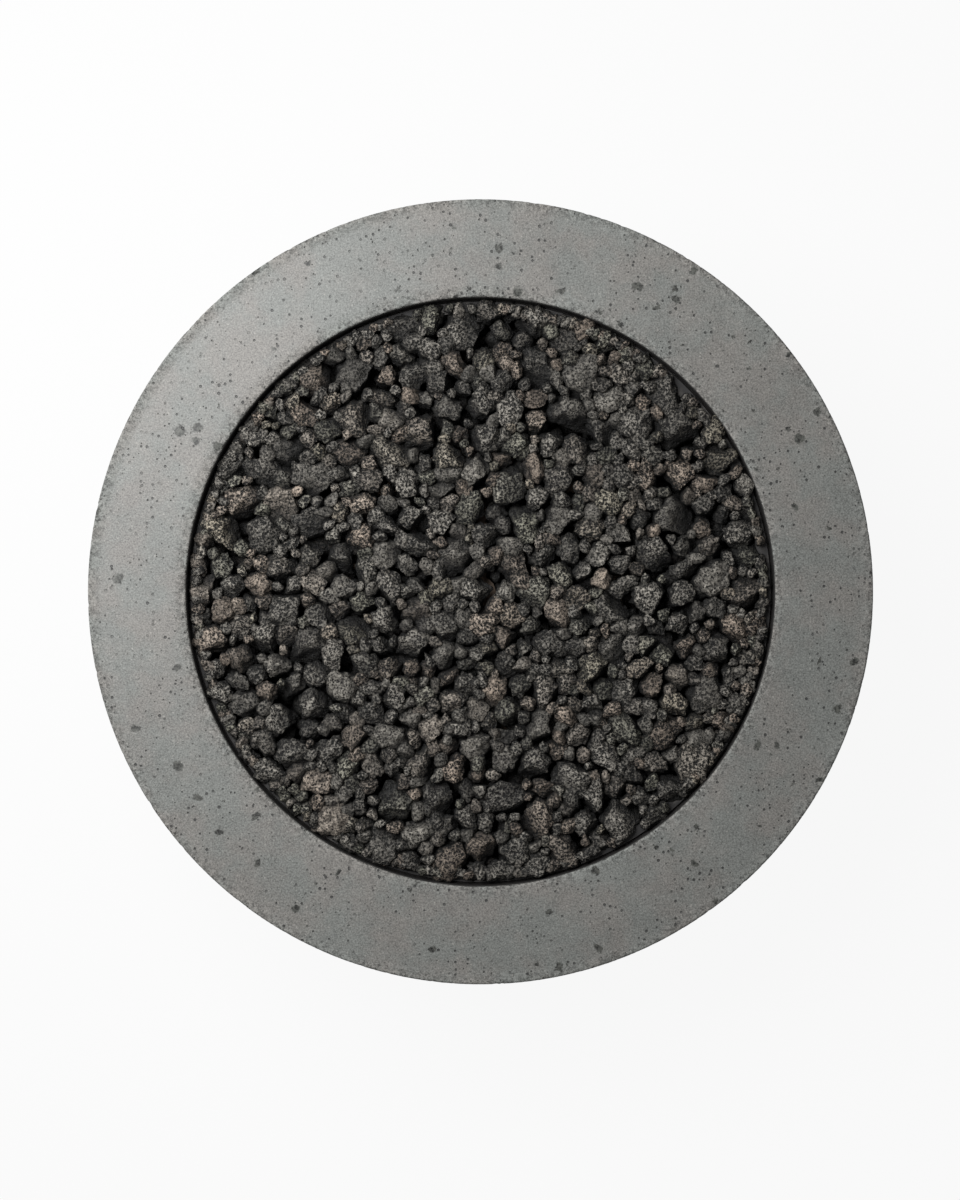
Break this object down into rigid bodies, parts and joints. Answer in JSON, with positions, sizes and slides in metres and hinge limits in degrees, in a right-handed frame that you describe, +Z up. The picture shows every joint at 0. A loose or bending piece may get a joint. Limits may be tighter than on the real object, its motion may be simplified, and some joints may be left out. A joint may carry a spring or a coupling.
{
  "type": "fire pit table",
  "caption": "Round cast concrete gas fire pit table: a wide flat ring top on a drum, with a drop-in burner pan filled with lava rock.",
  "frame": {"origin": "centre of the table at ground level, under the middle of the drum", "axes": "+Z up along the table's round axis, -Y towards the control panel, +Y towards the service door"},
  "size_m": [1.219, 1.219, 0.406],
  "materials": {
    "concrete": "satin, cast and sealed",
    "lava_rock": "rough, porous",
    "neoprene": "matte",
    "stainless": "brushed",
    "pan_steel": "matte high-temperature black",
    "black_powder_coat": "satin",
    "brass": "machined",
    "galvanised": "dull",
    "zinc_screw": "satin",
    "knob_metal": "satin chrome",
    "button_plastic": "satin",
    "igniter_plastic": "matte",
    "battery_case": "plain",
    "spring_steel": "bright",
    "gasket_fibre": "ceramic fibre",
    "hose_braid": "corrugated stainless",
    "electrode_ceramic": "white",
    "lead_sleeve": "silicone",
    "magnet": "matte"
  },
  "bodies": {
    "root": {"top_ring": "concrete", "drum_shell": "concrete", "top_pads": "neoprene", "locating_dowels": "stainless", "control_plate": "stainless", "control_screws": "zinc_screw", "gas_valve": "brass", "valve_locknut": "brass", "igniter_barrel": "igniter_plastic", "igniter_nut": "igniter_plastic", "igniter_battery": "battery_case", "igniter_spring": "spring_steel", "vent_grille_right": "black_powder_coat", "vent_grille_left": "black_powder_coat", "door_frame": "black_powder_coat", "door_frame_screws": "zinc_screw", "hinge_pins": "stainless", "door_magnet": "magnet", "pan_gasket": "gasket_fibre", "burner_pan": "pan_steel", "ring_burner": "stainless", "burner_nipple": "galvanised", "pan_washers": "galvanised", "pan_locknuts": "galvanised", "air_mixer": "brass", "gas_inlet": "brass", "gas_inlet_nut": "brass", "burner_hose": "hose_braid", "inlet_hose": "hose_braid", "burner_hose_nuts": "brass", "inlet_hose_nuts": "brass", "sensor_hood": "stainless", "electrode_insulator": "electrode_ceramic", "electrode_rod": "stainless", "thermocouple": "stainless", "igniter_lead": "lead_sleeve", "thermocouple_lead": "brass", "lava_fill": "lava_rock", "lava_rocks": "lava_rock"},
    "valve_plug": {"valve_plug": "brass"},
    "valve_stem": {"valve_stem": "stainless", "valve_knob": "knob_metal"},
    "igniter_button": {"igniter_button": "button_plastic"},
    "access_door": {"access_door": "black_powder_coat", "door_pull": "knob_metal"}
  },
  "joints": [
    {"name": "valve_turn", "type": "hinge", "parent": "root", "child": "valve_plug", "pos_m": [-0.055, -0.5525, 0.19], "axis": [0, -1, 0], "range_deg": [0, 180]},
    {"name": "knob_push", "type": "slide", "parent": "valve_plug", "child": "valve_stem", "axis": [0, 1, 0], "range_m": [0, 0.003], "stiffness_N_per_m": 800},
    {"name": "igniter_push", "type": "slide", "parent": "root", "child": "igniter_button", "axis": [0, 1, 0], "range_m": [0, 0.004], "stiffness_N_per_m": 600, "deforming": ["igniter_spring"]},
    {"name": "door_swing", "type": "hinge", "parent": "root", "child": "access_door", "pos_m": [0.139, 0.5715, 0.172], "axis": [0, 0, -1], "range_deg": [0, 110]}
  ]
}
